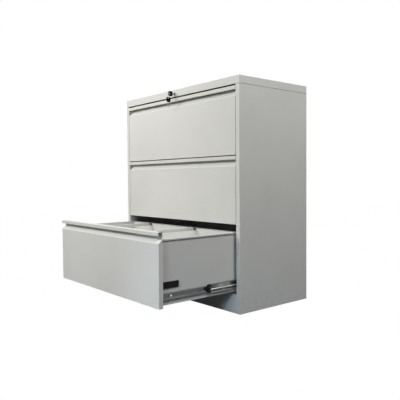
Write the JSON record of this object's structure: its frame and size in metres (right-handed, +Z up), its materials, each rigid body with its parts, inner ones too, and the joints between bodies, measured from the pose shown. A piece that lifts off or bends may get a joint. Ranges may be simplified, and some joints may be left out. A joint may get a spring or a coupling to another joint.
{
  "type": "drawer filing cabinet",
  "caption": "Wide steel filing cabinet of stacked drawers on ball slides, the lowest drawn out, with a full-width pull on each drawer, a plinth, and a key lock in the top cover.",
  "frame": {"origin": "middle of the cabinet's footprint on the floor, with the drawers' travel left out", "axes": "+Z up, -Y out of the drawer fronts, +X to the right seen from the front"},
  "size_m": [0.9, 0.856, 1.025],
  "materials": {
    "grey_paint": "satin",
    "zinc_steel": "satin",
    "bright_nickel": "polished",
    "black_plastic": "matte",
    "cage_plastic": "matte",
    "guide_plastic": "matte"
  },
  "bodies": {
    "cabinet": {"top_cover": "grey_paint", "side_panel_left": "grey_paint", "side_panel_right": "grey_paint", "back_panel": "grey_paint", "base_frame": "grey_paint", "base_pan": "grey_paint", "rear_upright_left": "grey_paint", "rear_upright_right": "grey_paint", "lock_rail": "grey_paint", "slide_screws": "zinc_steel", "lock_barrel": "bright_nickel", "lock_nut": "zinc_steel", "lock_guides": "guide_plastic", "drawer_bottom_outer_rails": "zinc_steel", "drawer_middle_outer_rails": "zinc_steel", "drawer_top_outer_rails": "zinc_steel"},
    "bottom_drawer": {"drawer_bottom_front": "grey_paint", "drawer_bottom_pull_panel": "grey_paint", "drawer_bottom_tray": "grey_paint", "drawer_bottom_tray_front": "grey_paint", "drawer_bottom_back": "grey_paint", "drawer_bottom_hanger_bars": "grey_paint", "drawer_bottom_inner_rails": "zinc_steel", "drawer_bottom_side_pads": "black_plastic", "drawer_bottom_screws": "zinc_steel"},
    "bottom_release_levers": {"drawer_bottom_release_levers": "black_plastic"},
    "bottom_outer_cages": {"drawer_bottom_outer_cages": "zinc_steel"},
    "bottom_mid_rails": {"drawer_bottom_mid_rails": "zinc_steel"},
    "bottom_inner_cages": {"drawer_bottom_inner_cages": "cage_plastic"},
    "middle_drawer": {"drawer_middle_front": "grey_paint", "drawer_middle_pull_panel": "grey_paint", "drawer_middle_tray": "grey_paint", "drawer_middle_tray_front": "grey_paint", "drawer_middle_back": "grey_paint", "drawer_middle_hanger_bars": "grey_paint", "drawer_middle_inner_rails": "zinc_steel", "drawer_middle_side_pads": "black_plastic", "drawer_middle_screws": "zinc_steel"},
    "middle_release_levers": {"drawer_middle_release_levers": "black_plastic"},
    "middle_outer_cages": {"drawer_middle_outer_cages": "zinc_steel"},
    "middle_mid_rails": {"drawer_middle_mid_rails": "zinc_steel"},
    "middle_inner_cages": {"drawer_middle_inner_cages": "cage_plastic"},
    "top_drawer": {"drawer_top_front": "grey_paint", "drawer_top_pull_panel": "grey_paint", "drawer_top_tray": "grey_paint", "drawer_top_tray_front": "grey_paint", "drawer_top_back": "grey_paint", "drawer_top_hanger_bars": "grey_paint", "drawer_top_inner_rails": "zinc_steel", "drawer_top_side_pads": "black_plastic", "drawer_top_screws": "zinc_steel"},
    "top_release_levers": {"drawer_top_release_levers": "black_plastic"},
    "top_outer_cages": {"drawer_top_outer_cages": "zinc_steel"},
    "top_mid_rails": {"drawer_top_mid_rails": "zinc_steel"},
    "top_inner_cages": {"drawer_top_inner_cages": "cage_plastic"},
    "lock_core": {"lock_plug": "bright_nickel", "lock_rod": "zinc_steel", "key_blade": "bright_nickel", "key_head": "black_plastic"},
    "lock_bar": {"lock_bar": "zinc_steel"}
  },
  "joints": [
    {"name": "bottom_drawer_slide", "type": "slide", "parent": "cabinet", "child": "bottom_drawer", "axis": [0, -1, 0], "range_m": [-0.406, 0]},
    {"name": "bottom_outer_cages_slide", "type": "slide", "parent": "cabinet", "child": "bottom_outer_cages", "axis": [0, -1, 0], "range_m": [-0.1015, 0]},
    {"name": "bottom_mid_rails_slide", "type": "slide", "parent": "cabinet", "child": "bottom_mid_rails", "axis": [0, -1, 0], "range_m": [-0.203, 0]},
    {"name": "bottom_inner_cages_slide", "type": "slide", "parent": "cabinet", "child": "bottom_inner_cages", "axis": [0, -1, 0], "range_m": [-0.3045, 0]},
    {"name": "bottom_lever_press", "type": "hinge", "parent": "bottom_drawer", "child": "bottom_release_levers", "pos_m": [0, -0.376, 0.131], "axis": [1, 0, 0], "range_deg": [-8, 8], "stiffness_Nm_per_rad": 0.5},
    {"name": "middle_drawer_slide", "type": "slide", "parent": "cabinet", "child": "middle_drawer", "axis": [0, -1, 0], "range_m": [0, 0.406]},
    {"name": "middle_outer_cages_slide", "type": "slide", "parent": "cabinet", "child": "middle_outer_cages", "axis": [0, -1, 0], "range_m": [0, 0.1015]},
    {"name": "middle_mid_rails_slide", "type": "slide", "parent": "cabinet", "child": "middle_mid_rails", "axis": [0, -1, 0], "range_m": [0, 0.203]},
    {"name": "middle_inner_cages_slide", "type": "slide", "parent": "cabinet", "child": "middle_inner_cages", "axis": [0, -1, 0], "range_m": [0, 0.3045]},
    {"name": "middle_lever_press", "type": "hinge", "parent": "middle_drawer", "child": "middle_release_levers", "pos_m": [0, 0.03, 0.431], "axis": [1, 0, 0], "range_deg": [-8, 8], "stiffness_Nm_per_rad": 0.5},
    {"name": "top_drawer_slide", "type": "slide", "parent": "cabinet", "child": "top_drawer", "axis": [0, -1, 0], "range_m": [0, 0.406]},
    {"name": "top_outer_cages_slide", "type": "slide", "parent": "cabinet", "child": "top_outer_cages", "axis": [0, -1, 0], "range_m": [0, 0.1015]},
    {"name": "top_mid_rails_slide", "type": "slide", "parent": "cabinet", "child": "top_mid_rails", "axis": [0, -1, 0], "range_m": [0, 0.203]},
    {"name": "top_inner_cages_slide", "type": "slide", "parent": "cabinet", "child": "top_inner_cages", "axis": [0, -1, 0], "range_m": [0, 0.3045]},
    {"name": "top_lever_press", "type": "hinge", "parent": "top_drawer", "child": "top_release_levers", "pos_m": [0, 0.03, 0.731], "axis": [1, 0, 0], "range_deg": [-8, 8], "stiffness_Nm_per_rad": 0.5},
    {"name": "lock_turn", "type": "hinge", "parent": "cabinet", "child": "lock_core", "pos_m": [0, -0.225, 1.002], "axis": [0, 1, 0], "range_deg": [0, 90]},
    {"name": "lock_bar_lift", "type": "slide", "parent": "cabinet", "child": "lock_bar", "axis": [0, 0, 1], "range_m": [0, 0.01697]}
  ],
  "couplings": [
    {"joint": "bottom_outer_cages_slide", "follows": "bottom_drawer_slide", "ratio": 0.25},
    {"joint": "bottom_mid_rails_slide", "follows": "bottom_drawer_slide", "ratio": 0.5},
    {"joint": "bottom_inner_cages_slide", "follows": "bottom_drawer_slide", "ratio": 0.75},
    {"joint": "middle_outer_cages_slide", "follows": "middle_drawer_slide", "ratio": 0.25},
    {"joint": "middle_mid_rails_slide", "follows": "middle_drawer_slide", "ratio": 0.5},
    {"joint": "middle_inner_cages_slide", "follows": "middle_drawer_slide", "ratio": 0.75},
    {"joint": "top_outer_cages_slide", "follows": "top_drawer_slide", "ratio": 0.25},
    {"joint": "top_mid_rails_slide", "follows": "top_drawer_slide", "ratio": 0.5},
    {"joint": "top_inner_cages_slide", "follows": "top_drawer_slide", "ratio": 0.75},
    {"joint": "lock_turn", "follows": "lock_bar_lift", "rad_per_m": 92.56}
  ]
}
